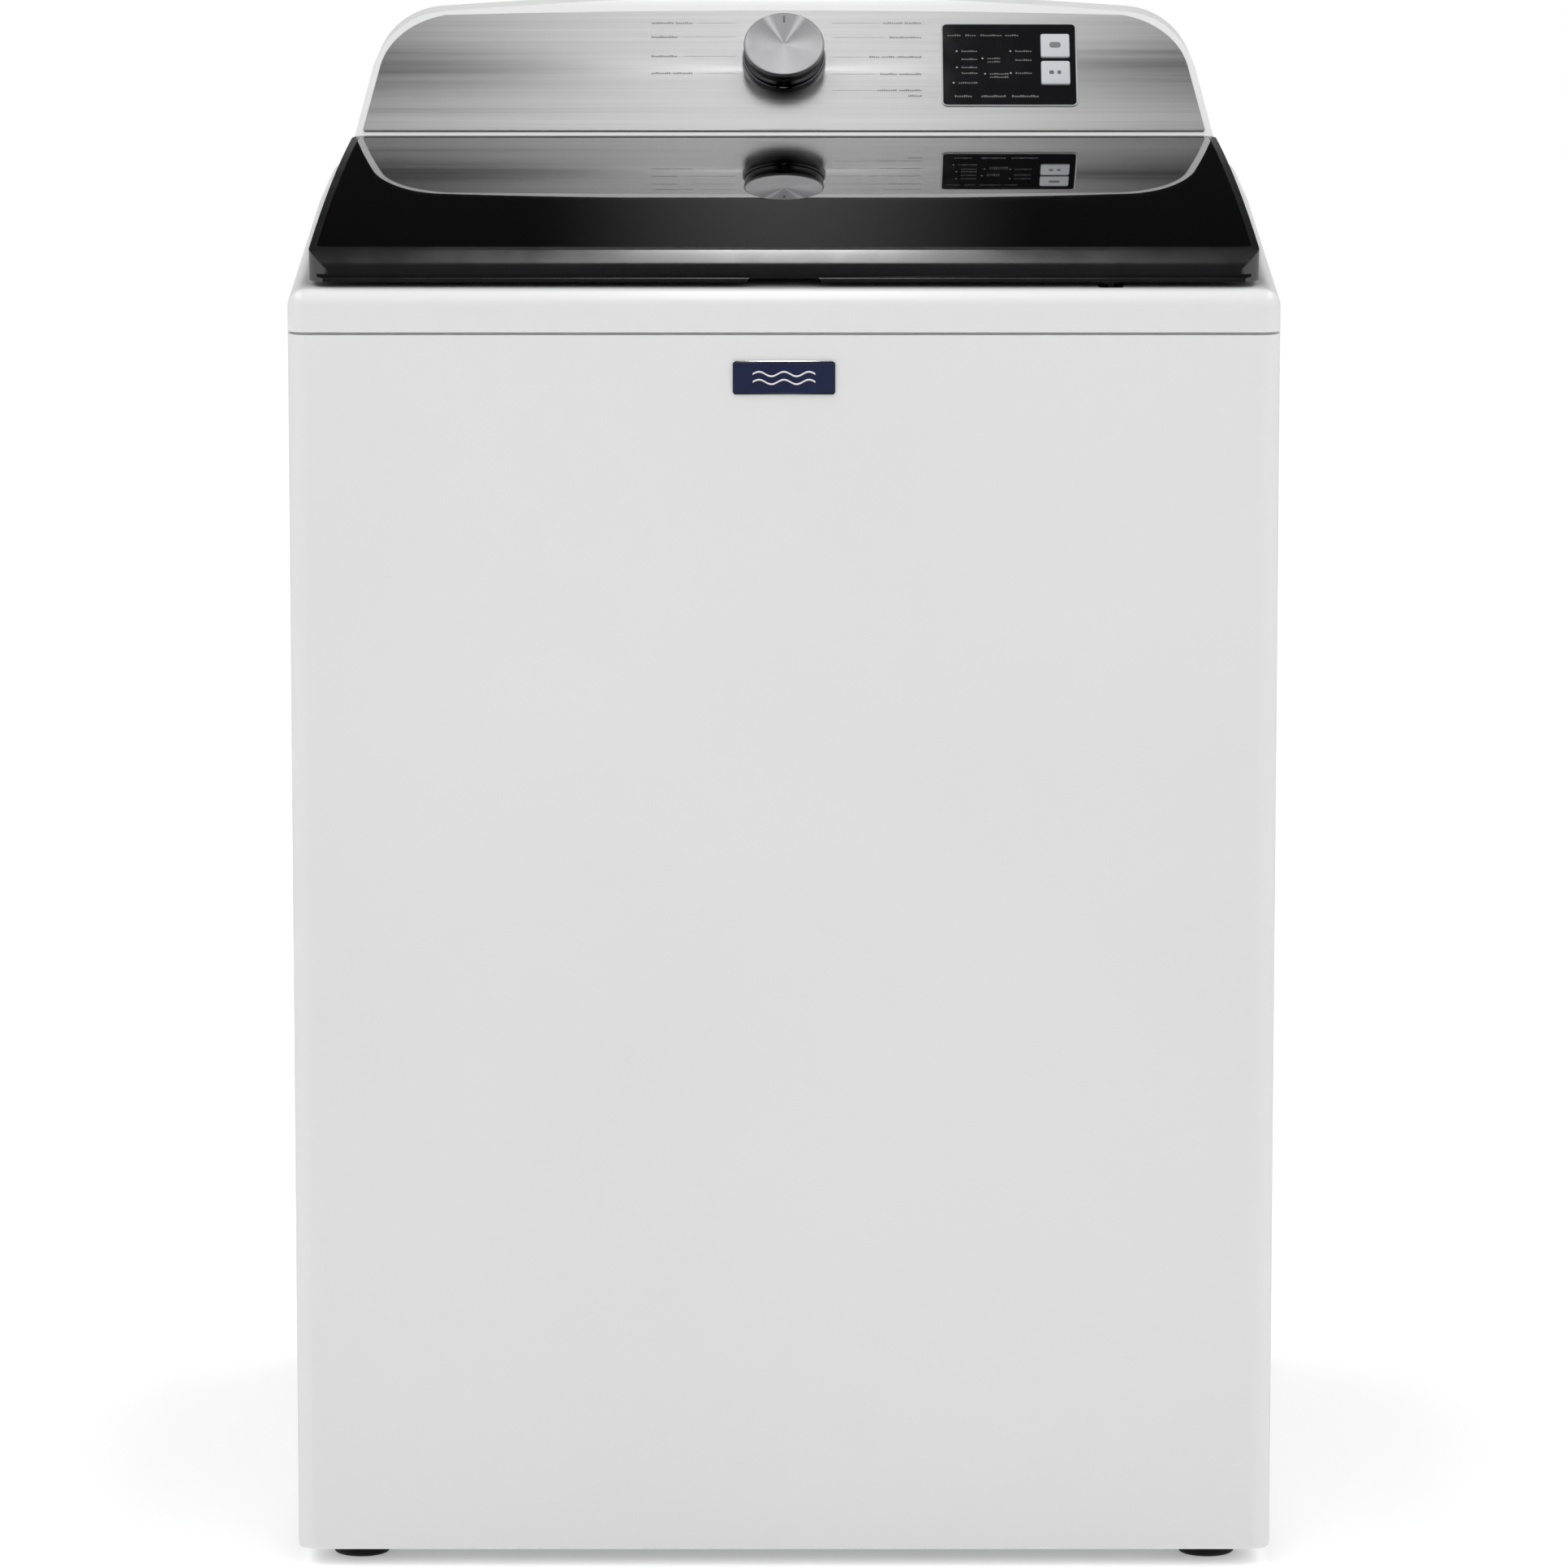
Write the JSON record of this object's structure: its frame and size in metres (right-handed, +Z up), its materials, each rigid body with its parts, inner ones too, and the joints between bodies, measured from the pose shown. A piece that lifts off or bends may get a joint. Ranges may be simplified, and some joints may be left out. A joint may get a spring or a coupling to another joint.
{
  "type": "top load washing machine",
  "caption": "Top load washing machine with a glazed lid, rear control console, suspended tub with perforated basket and agitator, belt drive, drain pump and levelling feet.",
  "frame": {"origin": "on the floor under the middle of the overall box", "axes": "+Z up, -Y out of the front, +X to the right seen from the front"},
  "size_m": [0.698, 0.708, 1.072],
  "materials": {
    "white_enamel": "smooth semi-gloss white enamel",
    "white_plastic": "satin white moulding",
    "galvanised": "zinc coated sheet",
    "lid_dark": "dark grey moulding",
    "tinted_glass": "dark tinted, polished",
    "brushed_fascia": "horizontally brushed",
    "bright_chrome": "polished",
    "turned_cap": "turned, radial sheen",
    "black_gloss": "polished black",
    "key_grey": "satin light grey",
    "badge_blue": "dark blue with a bright rim",
    "black_plastic": "fine textured",
    "grey_plastic": "fine textured",
    "tub_plastic": "satin, moulded",
    "stainless": "polished stainless sheet",
    "agitator_grey": "satin moulding",
    "steel": "bright steel",
    "aluminium_cast": "as cast",
    "black_rubber": "matte",
    "board_green": "printed board",
    "drive_paint": "black paint",
    "blue_plastic": "moulded"
  },
  "bodies": {
    "cabinet": {"cabinet_wrap": "white_enamel", "rear_panel": "galvanised", "base_frame": "galvanised", "foot_lock_nuts": "steel", "rear_screws": "steel", "front_badge": "badge_blue", "top_panel": "white_enamel", "hinge_brackets": "steel", "hinge_pins": "steel", "lid_lock_housing": "black_plastic", "console_housing": "white_plastic", "console_fascia": "brushed_fascia", "console_rear_cover": "galvanised", "knob_bezel": "bright_chrome", "encoder": "black_plastic", "display_window": "black_gloss", "control_board": "board_green", "inlet_valve_body": "grey_plastic", "inlet_solenoids": "blue_plastic", "fill_nozzle": "black_plastic", "drain_hose": "black_rubber", "drain_spigot": "grey_plastic", "suspension_rods": "steel", "suspension_springs": "steel", "rod_spring_seats": "black_plastic"},
    "lid": {"lid_frame": "lid_dark", "lid_glass": "tinted_glass", "lid_liner": "grey_plastic", "lid_strike": "steel", "lid_bumpers": "black_rubber"},
    "knob": {"knob_skirt": "bright_chrome", "knob_cap": "turned_cap", "knob_spindle": "steel"},
    "power_key": {"power_button": "key_grey"},
    "start_key": {"start_button": "key_grey"},
    "lock_bolt": {"lid_lock_bolt": "grey_plastic"},
    "tub": {"outer_tub": "tub_plastic", "tub_ring": "tub_plastic", "gearcase": "aluminium_cast", "drive_frame": "galvanised", "motor": "drive_paint", "drain_pump": "black_plastic", "spin_bearings": "steel", "tub_seal": "black_rubber", "drive_belt": "black_rubber", "damper_cups": "grey_plastic"},
    "basket": {"wash_basket": "stainless", "basket_hub": "grey_plastic", "balance_ring": "grey_plastic", "spin_tube": "steel"},
    "agitator_set": {"agitator": "agitator_grey", "softener_cup": "agitator_grey", "agitator_shaft": "steel"},
    "drive_wheel": {"drive_pulley": "aluminium_cast"},
    "motor_rotor": {"motor_pulley": "steel"},
    "pump_rotor": {"pump_impeller": "grey_plastic"},
    "foot_front_left": {"leveling_foot_front_left": "steel"},
    "foot_rear_left": {"leveling_foot_rear_left": "steel"},
    "foot_front_right": {"leveling_foot_front_right": "steel"},
    "foot_rear_right": {"leveling_foot_rear_right": "steel"}
  },
  "joints": [
    {"name": "lid_hinge", "type": "hinge", "parent": "cabinet", "child": "lid", "pos_m": [0, 0.14, 0.964], "axis": [-1, 0, 0], "range_deg": [0, 98]},
    {"name": "knob_turn", "type": "hinge", "parent": "cabinet", "child": "knob", "pos_m": [0, 0.21633, 1.02933], "axis": [0, -0.7071, 0.7071], "continuous": true},
    {"name": "power_press", "type": "slide", "parent": "cabinet", "child": "power_key", "axis": [0, 0.7071, -0.7071], "range_m": [0, 0.0012], "stiffness_N_per_m": 400, "springref_m": -0.001},
    {"name": "start_press", "type": "slide", "parent": "cabinet", "child": "start_key", "axis": [0, 0.7071, -0.7071], "range_m": [0, 0.0012], "stiffness_N_per_m": 400, "springref_m": -0.001},
    {"name": "lock_slide", "type": "slide", "parent": "cabinet", "child": "lock_bolt", "axis": [1, 0, 0], "range_m": [0, 0.01]},
    {"name": "tub_suspension", "type": "slide", "parent": "cabinet", "child": "tub", "axis": [0, 0, 1], "range_m": [-0.03, 0.012], "stiffness_N_per_m": 9800, "springref_m": 0.04, "deforming": ["suspension_springs", "drain_hose"]},
    {"name": "basket_spin", "type": "hinge", "parent": "tub", "child": "basket", "pos_m": [0, -0.017, 0.5], "axis": [0, 0, 1], "continuous": true},
    {"name": "agitator_turn", "type": "hinge", "parent": "basket", "child": "agitator_set", "pos_m": [0, -0.017, 0.5], "axis": [0, 0, 1], "continuous": true},
    {"name": "drive_wheel_spin", "type": "hinge", "parent": "tub", "child": "drive_wheel", "pos_m": [0, -0.017, 0.07], "axis": [0, 0, 1], "continuous": true},
    {"name": "motor_spin", "type": "hinge", "parent": "tub", "child": "motor_rotor", "pos_m": [-0.165, -0.017, 0.07], "axis": [0, 0, 1], "continuous": true},
    {"name": "pump_spin", "type": "hinge", "parent": "tub", "child": "pump_rotor", "pos_m": [-0.15, 0.118, 0.15], "axis": [0, 0, 1], "continuous": true},
    {"name": "foot_front_left_screw", "type": "slide", "parent": "cabinet", "child": "foot_front_left", "axis": [0, 0, -1], "range_m": [0, 0.012]},
    {"name": "foot_front_right_screw", "type": "slide", "parent": "cabinet", "child": "foot_front_right", "axis": [0, 0, -1], "range_m": [0, 0.012]},
    {"name": "foot_rear_left_screw", "type": "slide", "parent": "cabinet", "child": "foot_rear_left", "axis": [0, 0, -1], "range_m": [0, 0.012]},
    {"name": "foot_rear_right_screw", "type": "slide", "parent": "cabinet", "child": "foot_rear_right", "axis": [0, 0, -1], "range_m": [0, 0.012]}
  ],
  "couplings": [
    {"joint": "drive_wheel_spin", "follows": "basket_spin", "ratio": 1},
    {"joint": "motor_spin", "follows": "basket_spin", "ratio": 4.6052}
  ]
}
